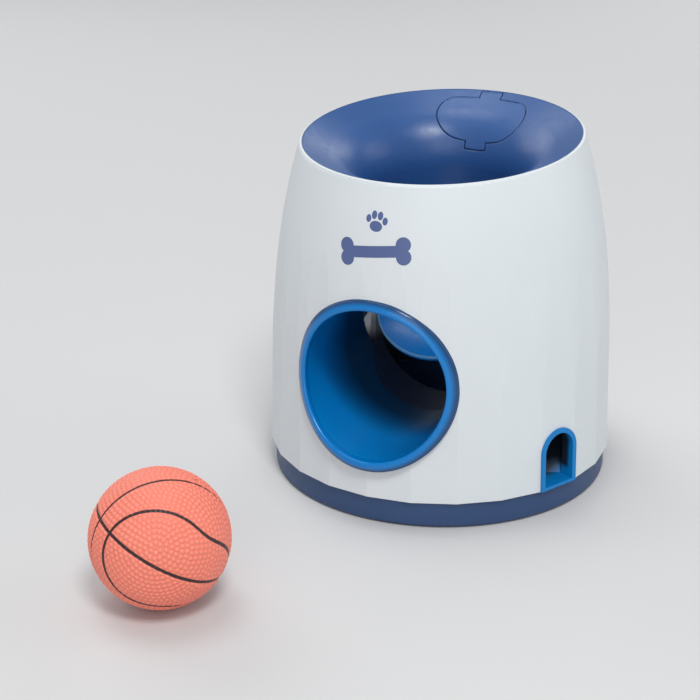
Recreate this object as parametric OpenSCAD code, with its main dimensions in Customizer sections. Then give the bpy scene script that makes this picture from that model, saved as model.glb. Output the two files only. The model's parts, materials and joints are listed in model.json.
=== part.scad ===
// Tabletop dog treat puzzle: a faceted grey housing with a ball funnel on top, a round ball exit,
// a side treat outlet, and a tipping dish that turns a dosing sector. Millimetres, +Z up,
// origin on the housing's axis at floor level, ball exit towards -Y.

/* [Housing] */
// Distance across opposite flats at the shell's lower edge
shell_flats = 171.7; // [168:0.1:176]
// Height of the shell's lower edge above the floor
shell_bottom_z = 13.8; // [12:0.1:16]
// Wall of the shell
shell_wall = 2.6; // [2.2:0.1:3]
// Lean of the lower flats in degrees
facet_draft = 1.46; // [1:0.01:2]
// Height at which the flats start to curve inwards
facet_bend_z = 66.9; // [60:0.1:75]
// Radius of the curved upper part of the flats
facet_bend_r = 476; // [440:1:520]
// How far the round shoulder lies inside the lower flats
round_inset = 2.58; // [2.2:0.01:3]
// Height of the round shoulder
round_z = 94.6; // [90:0.1:100]
// Lean of the round body below its shoulder in degrees
round_draft = 4.53; // [4:0.01:5]
// Radius of the round body's side curve
round_arc_r = 361; // [345:1:380]
// Height of the slanted rim on the axis
rim_z = 171.2; // [168:0.1:174]
// Slant of the rim in degrees, front lower
rim_tilt = 5.82; // [4.5:0.01:7]
// Visible width of the shell's rim
rim_wall = 1.41; // [1.2:0.01:1.8]
// Rounding of the rim's outer edge
rim_round = 1.1; // [0.6:0.1:1.2]

/* [Funnel] */
// Radius of the ball throat
throat_r = 39; // [38:0.1:40]
// Slope of the flare in degrees
flare_slope = 26; // [24:0.5:30]
// Radius that turns the flare into the throat
flare_arc_r = 30; // [26:0.5:34]
// Wall of the funnel
funnel_wall = 3; // [2.6:0.1:3.4]
// Depth of the throat's skirt below the rim
skirt_depth = 56; // [48:1:58]
// Width of the rim ring that seats in the shell
ring_w = 4.5; // [4:0.1:5]
// Depth of the rim ring
ring_d = 6; // [5.5:0.1:7]

/* [Lid] */
// Width of the treat lid
lid_w = 46.4; // [42:0.1:50]
// Distance from the funnel's edge to the lid's upper edge, along the flare
lid_top = 6.2; // [6:0.1:8]
// Distance from the funnel's edge to the lid's lower edge, along the flare
lid_low = 31.2; // [29:0.1:32]
// Corner radius of the lid
lid_corner = 12; // [9:0.1:12]
// Thickness of the lid
lid_t = 1.6; // [1.4:0.1:1.8]
// Gap round the lid
lid_gap = 0.5; // [0.4:0.05:0.6]
// Width of the ledge that the lid lies on
lid_ledge = 2.2; // [1.8:0.1:3]
// Width of the hinge tongue
tongue_w = 11; // [9:0.1:13]
// Width of the finger tab
tab_w = 10.5; // [8:0.1:13]
// Length of the finger tab
tab_l = 2.9; // [2.5:0.1:3.5]
// Diameter of the hinge pin
hinge_pin_d = 1.2; // [1:0.1:1.3]
// Length of the hinge pin
hinge_pin_l = 19; // [17:0.5:20]

/* [Ball path] */
// Radius of the exit tube's bore
tube_r = 36.5; // [35.5:0.1:37]
// Wall of the exit tube and the trough
tube_wall = 2.4; // [2:0.1:2.6]
// Height of the exit tube's axis
tube_z = 69.7; // [68:0.1:72]
// Width of the lip round the exit, outside the tube's wall
lip_w = 2; // [1.6:0.1:3]
// How far the lip stands proud of the shell
lip_proud = 0.9; // [0.6:0.1:1.4]
// Distance of the exit tube's lower inner end from the axis
tube_end = 20.5; // [19.5:0.5:22]
// Height at which the tube's side walls reach furthest in, over the trough's edge
tube_side_z = 57; // [55:0.5:59]
// Distance of the trough's far end behind the axis
trough_end = 4; // [2:0.5:6]
// Diameter of the ball
ball_d = 62; // [58:0.5:63]
// Sideways place of the ball on the floor
ball_x = -48.5; // [-60:0.5:-30]
// Place of the ball in front of the housing
ball_y = -191; // [-220:0.5:-170]
// Width of the ball's grooves
groove_w = 1.6; // [1:0.1:2]

/* [Tipping dish] */
// Radius of the dish's rim
dish_r = 35; // [34:0.1:35.5]
// Depth of the dish
dish_depth = 7; // [6:0.1:8]
// Wall of the dish
dish_wall = 2.2; // [1.8:0.1:2.6]
// Slope of the dish at rest in degrees
dish_tilt = 40; // [38:0.5:42]
// Place of the dish's centre behind the axis
dish_y = 3; // [2:0.1:5]
// Height of the dish's centre
dish_z = 84.5; // [83:0.1:86]
// Distance from the dish's centre square down to the shaft
dish_drop = 29.4; // [28:0.1:31]
// Distance of the dish's arms from the middle
arm_x = 22; // [18:0.5:25]
// Thickness of a dish arm
arm_t = 4; // [3:0.5:6]
// Diameter of the dish shaft
shaft_d = 4; // [3.5:0.1:4.5]
// Radial running clearance of the shaft in the cheeks
shaft_clear = 0.05; // [0.03:0.01:0.1]

/* [Dosing] */
// Distance of the cheeks' inner faces from the middle
cheek_x = 41.5; // [40.5:0.1:42.5]
// Thickness of a cheek
cheek_t = 3; // [2.5:0.1:3.2]
// Inner radius of the dosing sector
sector_in_r = 26; // [25:0.1:27]
// Outer radius of the dosing sector
sector_out_r = 38; // [37:0.1:39]
// Room between the dosing sector and the shell for its web, the clip and the shaft's end
sector_room = 23.25; // [22.25:0.05:23.75]
// Wall of the dosing sector beside the treat pocket
pocket_wall = 1.5; // [1.2:0.1:2.4]
// Running gap round the dosing sector
sector_gap = 0.5; // [0.4:0.05:0.8]
// Wall of the treat hopper
hopper_wall = 1.8; // [1.5:0.1:2.2]
// Slope of the hopper's floor in degrees
hopper_slope = 25; // [22:0.5:28]

/* [Treat outlet] */
// Direction of the outlet from the ball exit in degrees
outlet_angle = 64.8; // [63.3:0.5:66.3]
// Inner width of the outlet
outlet_w = 18; // [16:0.1:18.5]
// Height of the outlet's frame above the shell's lower edge
outlet_h = 30; // [27:0.5:33]
// Width of the outlet's lip
outlet_lip = 2.4; // [2:0.1:2.6]
// Wall of the chute
chute_wall = 1.5; // [1.3:0.1:1.8]

/* [Base] */
// Gap between the base ring and the shell
base_gap = 0.35; // [0.3:0.05:0.5]
// Height of the base's underside above the floor
base_z = 0.5; // [0.4:0.1:0.8]
// Wall and floor of the base
base_wall = 2.4; // [2:0.1:2.8]
// Rounding under the base
base_round = 1.5; // [1:0.1:2.5]
// How far the base's visible band lies inside the shell's flats
base_step = 1.4; // [1:0.1:2.4]
// How far the base ring reaches up inside the shell
base_lap = 6; // [4:0.5:8]
// Diameter of a rubber foot
foot_d = 11; // [9:0.5:13]
// Distance of the feet from the axis
foot_circle_r = 66; // [60:0.5:70]
// Distance of the housing screws from the axis
post_circle_r = 73; // [72:0.1:75]
// Height at which the shell's posts meet the base's posts
post_z = 18; // [17:0.1:20]
// Diameter of the screws
screw_d = 3; // [2.5:0.1:3.5]

/* [Hidden] */
$fn = 96;
// Segments of the large side curves
arc_fn = 480;
// Room that cuts take beyond a face
past = 1;
// Size of the blocks that cut away everything on one side
block = 300;
// Gap of a fixed fit between round faces of one body
snug = 0.02;
// Colours
grey = [0.83, 0.85, 0.87];
navy = [0.16, 0.32, 0.57];
deep_navy = [0.17, 0.26, 0.43];
bright_blue = [0.02, 0.47, 0.79];
steel = [0.7, 0.71, 0.73];
coral = [0.95, 0.52, 0.46];
black = [0.1, 0.1, 0.11];
// Lowest and highest level of the side profiles
low_z = -10;
high_z = 200;
// Number of the housing's flats, which leave a corner at the ball exit
facets = 25;
facet_step = 360 / facets;
flat_bottom_r = shell_flats / 2;
flat_bend_r = flat_bottom_r - (facet_bend_z - shell_bottom_z) * tan(facet_draft);
round_r = flat_bottom_r - round_inset;
// Centre of the round body's side curve in its profile plane
round_c = [round_r - round_arc_r * cos(round_draft), round_z - round_arc_r * sin(round_draft)];
// How far the side curves start outside their leaning lines, so that each pair crosses cleanly
bend_ease = 0.05;
// Distance along the slanted rim plane from the axis to the round body, back (+1) or front (-1)
function rim_reach(side) =
  let (h = rim_z - round_c[1], t = side * rim_tilt)
  let (b = h * sin(t) - round_c[0] * cos(t), c = round_c[0] ^ 2 + h ^ 2 - round_arc_r ^ 2)
  sqrt(b ^ 2 - c) - b;
rim_shift = (rim_reach(-1) - rim_reach(1)) / 2;
rim_r = (rim_reach(-1) + rim_reach(1)) / 2;
funnel_r = rim_r - rim_wall;
// Gap between the funnel's edge and the shell
funnel_gap = 0.1;
// Thickness of the ledge inside the shell that carries the funnel
ledge_t = 2;
// Centre of the arc that turns the flare into the throat, in the slanted profile plane
flare_c = [throat_r + flare_arc_r, -flare_arc_r * cos(flare_slope)
  - (funnel_r - throat_r - flare_arc_r * (1 - sin(flare_slope))) * tan(flare_slope)];
// How far the flare's arc starts outside its neighbours, so that each pair crosses cleanly
flare_ease = 0.02;
// Lid hinge: distance from the funnel's edge along the flare, depth under it, knuckle radius
hinge_in = 3;
hinge_under = 1.3;
knuckle_r = 1.25;
hinge_clear = 0.05;
// Tail of the hinge tongue behind the pin, and the round pocket that it turns down into
tail_l = 1.4;
tail_pocket_r = 2.25;
// Depth of the recess under the lid, how far its cut starts above the flare, and reach of the blocks
// that cut it
lid_seat = 0.1;
lid_over = 4;
lid_reach = 20;
// Radius of the lid's upper edge, concentric with the rim
lid_top_r = funnel_r / cos(flare_slope) - lid_top;
// Exit tube
tube_out_r = tube_r + tube_wall;
tube_fit = 0.2;
// Inner end of the tube's side walls: how far its slants rise, and their distances from the axis
tube_slant = 16;
tube_nose_y = tube_end / 3;
tube_side_y = 2 * tube_nose_y;
// Shaft of the dish: [y, z]
pivot = [dish_y + dish_drop * sin(dish_tilt), dish_z - dish_drop * cos(dish_tilt)];
// Width of the dish's rim, and radius of the bowl inside it
dish_rim = 1.2;
dish_sphere_r = ((dish_r - dish_rim) ^ 2 + dish_depth ^ 2) / (2 * dish_depth);
hub_r = shaft_d / 2 + 3;
cheek_out_x = cheek_x + cheek_t;
// Dosing sector: side gap to the cheek, web on its outer side, and its spread in degrees from
// straight up, front positive
sector_x = cheek_out_x + 1.5;
sector_w = flat_bottom_r - shell_wall - sector_x - sector_room;
sector_end_x = sector_x + sector_w;
pocket_d = sector_w - 2 * pocket_wall;
web_t = 2.5;
sector_space_r = flat_bottom_r - shell_wall - 3.2;
sector_reach_y = sqrt(sector_space_r ^ 2 - (sector_end_x + web_t) ^ 2);
sector_front = 18;
sector_back = -asin((sector_reach_y - pivot[0]) / sector_out_r);
web_front = -14;
sector_hub_l = 6;
pocket_x = sector_x + sector_w / 2;
// Curved floor under the pocket
floor_t = 1.6;
floor_r = sector_in_r - sector_gap;
floor_half = 15;
// Shaft ends and clips
clip_t = 1.2;
clip_r = shaft_d / 2 + 2.5;
clip_gap = 0.3;
shaft_left_x = -cheek_out_x - clip_gap - clip_t - 1;
shaft_right_x = sector_end_x + web_t + clip_gap + clip_t + 1;
// Turn of the ball, and places of its parallel grooves as shares of its radius
ball_turn = [-9.06, -30.53, -129.14];
ball_rings = [-0.53, 0, 0.53];
// Return spring
spring_turns = 5;
spring_rings = 8;
spring_sides = 6;
spring_wire_r = 0.5;
spring_r = shaft_d / 2 + 2.2;
spring_start_x = -cheek_x + spring_wire_r + 0.2;
spring_pitch = 2;
// Hopper: gap to the shell, gap to the funnel, gap to the throat, inner radius, and its two ends in
// degrees from the ball exit towards +X
hopper_gap = 1;
hopper_top_gap = 0.5;
hopper_throat_gap = 5.5;
hopper_in_r = throat_r + funnel_wall + hopper_throat_gap;
hopper_from = 96;
hopper_to = 230;
spout_wall = 1.5;
spout_rise = 9;
spout_top_z = pivot[1] + sector_out_r + spout_rise;
// How far the spout's bore is cut up into the hopper
spout_over = 12;
// Screw ears of the hopper under the funnel, and their depth under the rim
ear_drop = 25.2;
ear_z = rim_z - ear_drop;
ear_t = 3;
ear_r = 4.5;
ear_circle_r = 56;
ear_step = 6;
ear_angles = [hopper_from - ear_step, hopper_to + ear_step];
// Treat outlet and chute
arch_r = outlet_w / 2;
sleeve_t = 1.4;
sleeve_fit = 0.2;
outlet_proud = 1;
sleeve_depth = 6;
outlet_cut = 10;
chute_sill = 1.6;
chute_in_z = 74;
chute_gap = 0.4;
chute_in_size = [2 * (pocket_x - cheek_out_x - chute_gap), 19];
chute_in_y = 4.5;
// Point on the outlet's axis at a depth in the flat, moved across it
function outlet_point(across, depth) =
  [(flat_bottom_r - depth) * sin(outlet_angle) + across * cos(outlet_angle),
    across * sin(outlet_angle) - (flat_bottom_r - depth) * cos(outlet_angle)];
// Line of the chute from the outlet to its mouth under the dosing sector
chute_start = outlet_point(0, sleeve_depth);
chute_run = [pocket_x, chute_in_y] - chute_start;
chute_heading = atan2(chute_run[1], chute_run[0]);
chute_l = norm(chute_run);
// Length of its level end, drop of its floor under the mouth, and height of its level end
chute_level = 7;
chute_drop = 12;
chute_level_h = outlet_h + 0.5;
// Base and posts
base_r = flat_bottom_r - shell_wall - base_gap;
base_band_r = flat_bottom_r - base_step;
base_seam = 0.2;
base_floor_z = base_z + base_wall;
base_top_z = shell_bottom_z + base_lap;
post_r = screw_d / 2 + 3;
post_angles = [45, 135, 225, 315];
post_rib_t = 2;
// Screw length in the shell's posts and in the funnel's bosses
post_grip = 12;
ear_grip = 8;
post_top_z = post_z + post_grip + 4;
foot_sink = 1;
foot_gap = 0.2;
foot_angles = [0, 90, 180, 270];
head_r = screw_d;
head_t = 2;
head_clear = 0.2;
head_z = base_z + 5;
screw_hole_r = screw_d / 2 + head_clear;
pilot_r = screw_d / 2 + snug;
// Feet of the inner frame
frame_foot_t = 6;
frame_head_t = 1;
frame_screw_top = base_floor_z + frame_foot_t - 0.6;
cheek_foot_w = 9;
cheek_top_r = 11;
floor_top_r = 9;
cheek_y = [pivot[0] - 14, pivot[0] + 18];
cheek_screw_x = cheek_out_x + cheek_foot_w / 2;
trough_plate_x = 18;
frame_screw_places = [
  [-cheek_screw_x, cheek_y[0] + 6], [-cheek_screw_x, cheek_y[1] - 6],
  [cheek_screw_x, cheek_y[0] + 6], [cheek_screw_x, cheek_y[1] - 6],
  [-trough_plate_x + 5, -tube_end + 14], [trough_plate_x - 5, -tube_end + 14]];
rib_t = 3;

// Point where a side's leaning line turns into its arc, drawn inset from its face
function bend_point(r_at, z_at, draft, inset) =
  [r_at - inset * cos(draft), z_at - inset * sin(draft)];

// What lies outside the arc above a side's bend
module beyond_arc(r_at, z_at, draft, arc_r, inset) {
  edge = bend_point(r_at, z_at, draft, inset);
  difference() {
    translate([0, edge[1]])
      square([2 * r_at, high_z]);
    translate([r_at - arc_r * cos(draft), z_at - arc_r * sin(draft)])
      circle(arc_r - inset + bend_ease, $fn = arc_fn);
  }
}

// Region from the axis out to a leaning line that turns into an arc
module barrel_profile(r_at, z_at, draft, arc_r, inset) {
  edge = bend_point(r_at, z_at, draft, inset);
  low_r = edge[0] + (edge[1] - low_z) * tan(draft);
  high_r = edge[0] + (edge[1] - high_z) * tan(draft);
  difference() {
    polygon([[0, low_z], [low_r, low_z], [high_r, high_z], [0, high_z]]);
    beyond_arc(r_at, z_at, draft, arc_r, inset);
  }
}

module round_profile(inset) {
  barrel_profile(round_r, round_z, round_draft, round_arc_r, inset);
}

module facet_profile(inset) {
  barrel_profile(flat_bend_r, facet_bend_z, facet_draft, facet_bend_r, inset);
}

// Section of all that lies on the inner side of one flat
module flat_profile() {
  low_r = flat_bend_r + (facet_bend_z - low_z) * tan(facet_draft);
  high_r = flat_bend_r + (facet_bend_z - high_z) * tan(facet_draft);
  difference() {
    polygon([[-shell_flats, low_z], [low_r, low_z], [high_r, high_z], [-shell_flats, high_z]]);
    beyond_arc(flat_bend_r, facet_bend_z, facet_draft, facet_bend_r, 0);
  }
}

// Solid outer form of the housing: a round barrel, trimmed by one flat after another
module housing_form(flats = facets) {
  if (flats == 0)
    rotate_extrude()
      round_profile(0);
  else
    intersection() {
      housing_form(flats - 1);
      rotate([0, 0, (flats - 0.5) * facet_step - 90])
        rotate([90, 0, 0])
          linear_extrude(height = 2 * shell_flats, center = true)
            flat_profile();
    }
}

// Round space inside the housing's wall, drawn further in by a gap
module housing_space(gap) {
  rotate_extrude()
    intersection() {
      round_profile(shell_wall + gap);
      facet_profile(shell_wall + gap);
    }
}

// Frame of the slanted rim: its centre, tilted forwards
module at_rim() {
  translate([0, -rim_shift * cos(rim_tilt), rim_z - rim_shift * sin(rim_tilt)])
    rotate([rim_tilt, 0, 0])
      children();
}

// Frame on the flare at the back of the funnel's edge, +Y up the slope and +Z square to it
module at_flare() {
  at_rim()
    translate([0, funnel_r, 0])
      rotate([flare_slope, 0, 0])
        children();
}

// Frame of the treat outlet on its flat, +X across and +Z up the flat
module at_outlet() {
  rotate([0, 0, outlet_angle])
    translate([0, -flat_bottom_r, shell_bottom_z])
      rotate([-facet_draft, 0, 0])
        children();
}

// Frame of the dish: its rim's centre, +Y up the slope and +Z square to the rim
module at_dish() {
  translate([0, dish_y, dish_z])
    rotate([dish_tilt, 0, 0])
      children();
}

module at_angle(angle, r) {
  rotate([0, 0, angle])
    translate([0, -r, 0])
      children();
}

// Everything below the rim plane
module below_rim() {
  at_rim()
    translate([-block / 2, -block / 2, -block])
      cube(block);
}

// Bar along +X about the dish's shaft
module about_shaft(x, length, r) {
  translate([x, pivot[0], pivot[1]])
    rotate([0, 90, 0])
      cylinder(h = length, r = r);
}

// Outline of the outlet's arch, widened by a margin
module arch(margin, height) {
  r = arch_r + margin;
  translate([0, height - r])
    circle(r);
  translate([-r, 0])
    square([2 * r, height - r]);
}

// Arch standing on the outlet's flat, from one depth to another, inwards positive
module arch_block(margin, height, from, to) {
  at_outlet()
    translate([0, to, 0])
      rotate([90, 0, 0])
        linear_extrude(height = to - from)
          arch(margin, height);
}

// Screw post of the shell, tied to the wall by a rib, widened by a gap
module shell_post(grow) {
  width = post_rib_t + 2 * grow;
  height = post_top_z - post_z;
  translate([0, 0, post_z])
    cylinder(h = height, r = post_r + grow);
  translate([-width / 2, -flat_bottom_r + post_circle_r, post_z])
    cube([width, flat_bottom_r - post_circle_r, height]);
}

// Ledge inside the shell under the funnel's rim ring
module funnel_ledge() {
  at_rim()
    translate([0, 0, -ring_d - ledge_t])
      difference() {
        cylinder(h = ledge_t, r = flat_bottom_r);
        translate([0, 0, -past])
          cylinder(h = ledge_t + 2 * past, r = funnel_r - ring_w + 1);
      }
}

module outer_shell() {
  color(grey)
    difference() {
      intersection() {
        housing_form();
        below_rim();
        translate([-block / 2, -block / 2, shell_bottom_z])
          cube(block);
      }
      difference() {
        housing_space(0);
        funnel_ledge();
        for (a = post_angles)
          at_angle(a, post_circle_r)
            shell_post(0);
      }
      at_rim()
        translate([0, 0, -ring_d])
          cylinder(h = block, r = funnel_r + funnel_gap);
      at_rim()
        rotate_extrude()
          translate([rim_r - rim_round, -rim_round])
            difference() {
              square(3 * rim_round);
              circle(rim_round);
            }
      translate([0, 0, tube_z])
        rotate([90, 0, 0])
          cylinder(h = shell_flats, r = tube_out_r + tube_fit);
      arch_block(sleeve_t + sleeve_fit, outlet_h - outlet_lip + sleeve_t + sleeve_fit,
        -outlet_cut, outlet_cut);
      for (a = post_angles)
        at_angle(a, post_circle_r)
          translate([0, 0, post_z - past])
            cylinder(h = post_grip + 2 * past, r = pilot_r);
    }
}

// Profile of all that lies under the flare, moved down square to the flare by a depth
module flare_region(depth) {
  slope = [cos(flare_slope), sin(flare_slope)];
  up = [-slope[1], slope[0]];
  throat = throat_r + depth;
  outer = [funnel_r, 0] - depth * up + 20 * slope;
  corner = [throat, outer[1] - (outer[0] - throat) * tan(flare_slope)];
  low = -skirt_depth - 20;
  r = flare_arc_r - depth;
  difference() {
    polygon([corner, outer, [outer[0], low], [throat, low]]);
    difference() {
      polygon([flare_c, flare_c + (r + 2) * up, corner + [-5, 5], flare_c - [r + 2, 0]]);
      translate(flare_c)
        circle(r + flare_ease);
    }
  }
}

// Skin of the flare between two depths, as a solid in the rim's frame
module flare_skin(from, to) {
  at_rim()
    rotate_extrude()
      difference() {
        flare_region(from);
        flare_region(to);
      }
}

// Outline of the lid on the flare, grown by a gap: panel, hinge tongue and finger tab
module lid_panel(grow) {
  r = min(lid_corner, (lid_low - lid_top) / 2 - lid_seat) + grow;
  w = lid_w / 2 + grow;
  intersection() {
    union() {
      for (x = [-1, 1])
        for (y = [-lid_low - grow + r, -lid_top + grow - r])
          translate([x * (w - r), y])
            circle(r);
      translate([-w + r, -lid_low - grow])
        square([2 * (w - r), lid_low - lid_top + 2 * grow]);
      translate([-w, -lid_low - grow + r])
        square([2 * w, lid_low - lid_top + 2 * grow - 2 * r]);
    }
    translate([0, -lid_top - lid_top_r])
      circle(lid_top_r + grow, $fn = 200);
  }
}

module lid_outline(grow) {
  lid_panel(grow);
  translate([-tongue_w / 2 - grow, -lid_top - lid_corner])
    square([tongue_w + 2 * grow, lid_top + lid_corner - hinge_in + tail_l]);
  translate([-tab_w / 2 - grow, -lid_low - tab_l - grow])
    square([tab_w + 2 * grow, tab_l + lid_corner]);
}

// Lid outline as a block square to the flare
module lid_block(from, to) {
  at_flare()
    translate([0, 0, from])
      linear_extrude(height = to - from)
        children();
}

// Bar along the lid's hinge
module hinge_bar(length, r) {
  at_flare()
    translate([-length / 2, -hinge_in, -hinge_under])
      rotate([0, 90, 0])
        cylinder(h = length, r = r);
}

module hopper_ear_bosses() {
  intersection() {
    for (a = ear_angles)
      at_angle(a, ear_circle_r)
        translate([0, 0, ear_z])
          cylinder(h = rim_z - ear_z, r = ear_r);
    at_rim()
      rotate_extrude()
        flare_region(funnel_wall / 2);
  }
}

module funnel() {
  color(navy)
    difference() {
      union() {
        at_rim()
          rotate_extrude() {
            intersection() {
              difference() {
                flare_region(0);
                flare_region(funnel_wall);
              }
              translate([0, -skirt_depth])
                square([funnel_r - ring_w / 2, skirt_depth]);
            }
            intersection() {
              flare_region(0);
              translate([funnel_r - ring_w, -ring_d])
                square([ring_w, ring_d]);
            }
          }
        hopper_ear_bosses();
      }
      intersection() {
        flare_skin(-lid_over, lid_t + lid_seat);
        lid_block(-lid_reach, lid_reach)
          lid_outline(lid_gap);
      }
      lid_block(-lid_reach, lid_reach)
        lid_panel(-lid_ledge);
      hinge_bar(tongue_w + 2 * lid_gap, tail_pocket_r);
      hinge_bar(hinge_pin_l + 2 * snug, hinge_pin_d / 2 + snug);
      for (a = ear_angles)
        at_angle(a, ear_circle_r)
          translate([0, 0, ear_z - past])
            cylinder(h = ear_grip + 2 * past, r = pilot_r);
    }
}

module lid() {
  color(navy)
    difference() {
      union() {
        intersection() {
          flare_skin(0, lid_t);
          lid_block(-lid_reach, lid_reach)
            lid_outline(0);
        }
        hinge_bar(tongue_w, knuckle_r);
      }
      hinge_bar(tongue_w + 2 * past, hinge_pin_d / 2 + hinge_clear);
    }
}

module lid_hinge_pin() {
  color(steel)
    hinge_bar(hinge_pin_l, hinge_pin_d / 2);
}

module base_tray() {
  color(deep_navy)
    difference() {
      union() {
        rotate_extrude() {
          difference() {
            union() {
              translate([0, base_z])
                square([base_band_r - base_round, base_floor_z - base_z]);
              translate([0, base_floor_z - past])
                square([base_r, base_top_z - base_floor_z + past]);
              translate([0, base_z + base_round])
                square([base_band_r, shell_bottom_z - base_seam - base_z - base_round]);
              translate([base_band_r - base_round, base_z + base_round])
                circle(base_round);
            }
            translate([-past, base_floor_z])
              square([base_r - base_wall + past, base_top_z]);
            translate([-10, 0])
              square([10, base_top_z]);
          }
        }
        for (a = post_angles)
          at_angle(a, post_circle_r)
            translate([0, 0, base_floor_z - past])
              cylinder(h = post_z - base_floor_z + past, r = post_r);
      }
      for (a = foot_angles)
        at_angle(a, foot_circle_r)
          cylinder(h = base_z + foot_sink, r = foot_d / 2 + foot_gap);
      for (a = post_angles)
        at_angle(a, post_circle_r) {
          cylinder(h = head_z + head_t, r = head_r + head_clear);
          cylinder(h = base_top_z + past, r = screw_hole_r);
          shell_post(base_gap);
        }
      for (p = frame_screw_places)
        translate(p) {
          cylinder(h = base_z + frame_head_t, r = head_r + head_clear);
          cylinder(h = base_floor_z + past, r = screw_hole_r);
        }
      arch_block(outlet_lip + 2, outlet_h, -outlet_cut, outlet_cut);
    }
}

// Space beyond the tube's slanted inner end, up to a height over the trough's edge
module beyond_tube(rise) {
  rotate([90, 0, 90])
    linear_extrude(height = block, center = true)
      polygon([[-tube_end, -past], [-tube_end, tube_side_z - tube_slant],
        [-tube_nose_y, tube_side_z], [-tube_nose_y - (tube_side_y - tube_nose_y) * rise / tube_slant,
        tube_side_z + rise], [block, tube_side_z + rise], [block, -past]]);
}

module exit_tube() {
  color(bright_blue)
    difference() {
      intersection() {
        translate([0, 0, tube_z])
          rotate([90, 0, 0])
            cylinder(h = shell_flats, r = tube_out_r + lip_w);
        rotate_extrude()
          round_profile(-lip_proud);
        difference() {
          translate([-block / 2, -block, 0])
            cube(block);
          difference() {
            housing_form();
            translate([0, 0, tube_z])
              rotate([90, 0, 0])
                cylinder(h = shell_flats, r = tube_out_r);
          }
        }
      }
      translate([0, past, tube_z])
        rotate([90, 0, 0])
          cylinder(h = shell_flats + past, r = tube_r);
      translate([0, 0, tube_side_z + tube_slant - past])
        cylinder(h = 2 * tube_out_r, r = throat_r);
      beyond_tube(tube_slant);
    }
}

module ball_trough() {
  length = tube_end + trough_end;
  color(deep_navy)
    difference() {
      union() {
        translate([0, trough_end, tube_z])
          rotate([90, 0, 0])
            cylinder(h = length, r = tube_out_r);
        for (y = [-tube_end, trough_end - rib_t])
          translate([-trough_plate_x, y, base_floor_z])
            cube([2 * trough_plate_x, rib_t, tube_z - tube_r - base_floor_z]);
        translate([-trough_plate_x, -tube_end, base_floor_z])
          cube([2 * trough_plate_x, length, frame_foot_t]);
      }
      translate([0, trough_end + past, tube_z])
        rotate([90, 0, 0])
          cylinder(h = length + 2 * past, r = tube_r);
      difference() {
        translate([-block / 2, -block / 2, tube_side_z - tube_slant])
          cube(block);
        beyond_tube(0);
      }
      frame_pilots();
    }
}

// Pilot holes in the feet of the inner frame
module frame_pilots() {
  for (p = frame_screw_places)
    translate([p[0], p[1], base_floor_z - past])
      cylinder(h = frame_foot_t - 0.5 + past, r = pilot_r);
}

// Side plate that carries the dish's shaft, with a foot on the base
module cheek_plate(top_z, top_half) {
  translate([cheek_x, 0, 0])
    rotate([90, 0, 90])
      linear_extrude(height = cheek_t) {
        polygon([[cheek_y[0], base_floor_z], [cheek_y[1], base_floor_z],
          [pivot[0] + top_half, top_z - top_half], [pivot[0] - top_half, top_z - top_half]]);
        translate([pivot[0], top_z - top_half])
          circle(top_half);
      }
  translate([cheek_x, cheek_y[0], base_floor_z])
    cube([cheek_t + cheek_foot_w, cheek_y[1] - cheek_y[0], frame_foot_t]);
}

module left_cheek() {
  color(grey)
    difference() {
      mirror([1, 0, 0])
        cheek_plate(pivot[1] + cheek_top_r, cheek_top_r);
      about_shaft(-cheek_out_x - past, cheek_t + 2 * past, shaft_d / 2 + shaft_clear);
      frame_pilots();
    }
}

// Wedge about the shaft between two angles from straight up, front positive
module shaft_wedge(from, to, x, width) {
  reach = 2 * sector_out_r;
  mid = (from + to) / 2;
  translate([x, pivot[0], pivot[1]])
    rotate([90, 0, 90])
      linear_extrude(height = width)
        polygon([[0, 0], reach * [-sin(from), cos(from)], reach * [-sin(mid), cos(mid)],
          reach * [-sin(to), cos(to)]]);
}

module right_cheek() {
  color(grey)
    difference() {
      union() {
        cheek_plate(pivot[1] + floor_r, floor_top_r);
        intersection() {
          difference() {
            about_shaft(cheek_out_x - past, sector_w + 1 + past, floor_r);
            about_shaft(cheek_out_x - 2 * past, sector_w + 3 * past, floor_r - floor_t);
          }
          shaft_wedge(-floor_half, floor_half, cheek_out_x - past, sector_w + 1 + past);
        }
      }
      about_shaft(cheek_x - past, cheek_t + 2 * past, shaft_d / 2 + shaft_clear);
      frame_pilots();
    }
}

// Bowl of the dish as a solid of revolution, between two depths into its wall
module bowl(from, to) {
  at_dish()
    rotate([0, 0, 45])
      rotate_extrude()
        intersection() {
          translate([0, dish_sphere_r - dish_depth])
            difference() {
              circle(dish_sphere_r + to, $fn = arc_fn);
              circle(dish_sphere_r + from, $fn = arc_fn);
            }
          translate([0, -2 * dish_depth])
            square([dish_r, 2 * dish_depth]);
        }
}

// Section of a dish arm: hub, bore, and a plate that widens up to the bowl
module arm_section() {
  foot = hub_r - 0.5;
  difference() {
    union() {
      polygon([[-foot, -dish_drop], [foot, -dish_drop], [2 * hub_r, 0], [-2 * hub_r, 0]]);
      translate([0, -dish_drop])
        circle(hub_r);
    }
    translate([0, -dish_drop])
      circle(shaft_d / 2 + snug);
  }
}

module dish() {
  color(bright_blue) {
    bowl(0, dish_wall);
    for (x = [-arm_x - arm_t, arm_x])
      difference() {
        at_dish()
          translate([x, 0, 0])
            rotate([90, 0, 90])
              linear_extrude(height = arm_t)
                arm_section();
        at_dish()
          rotate([0, 0, 45])
            translate([0, 0, dish_sphere_r - dish_depth])
              sphere(dish_sphere_r + dish_wall / 2, $fn = 200);
      }
  }
}

module dish_shaft() {
  color(steel)
    about_shaft(shaft_left_x, shaft_right_x - shaft_left_x, shaft_d / 2);
}

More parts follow.
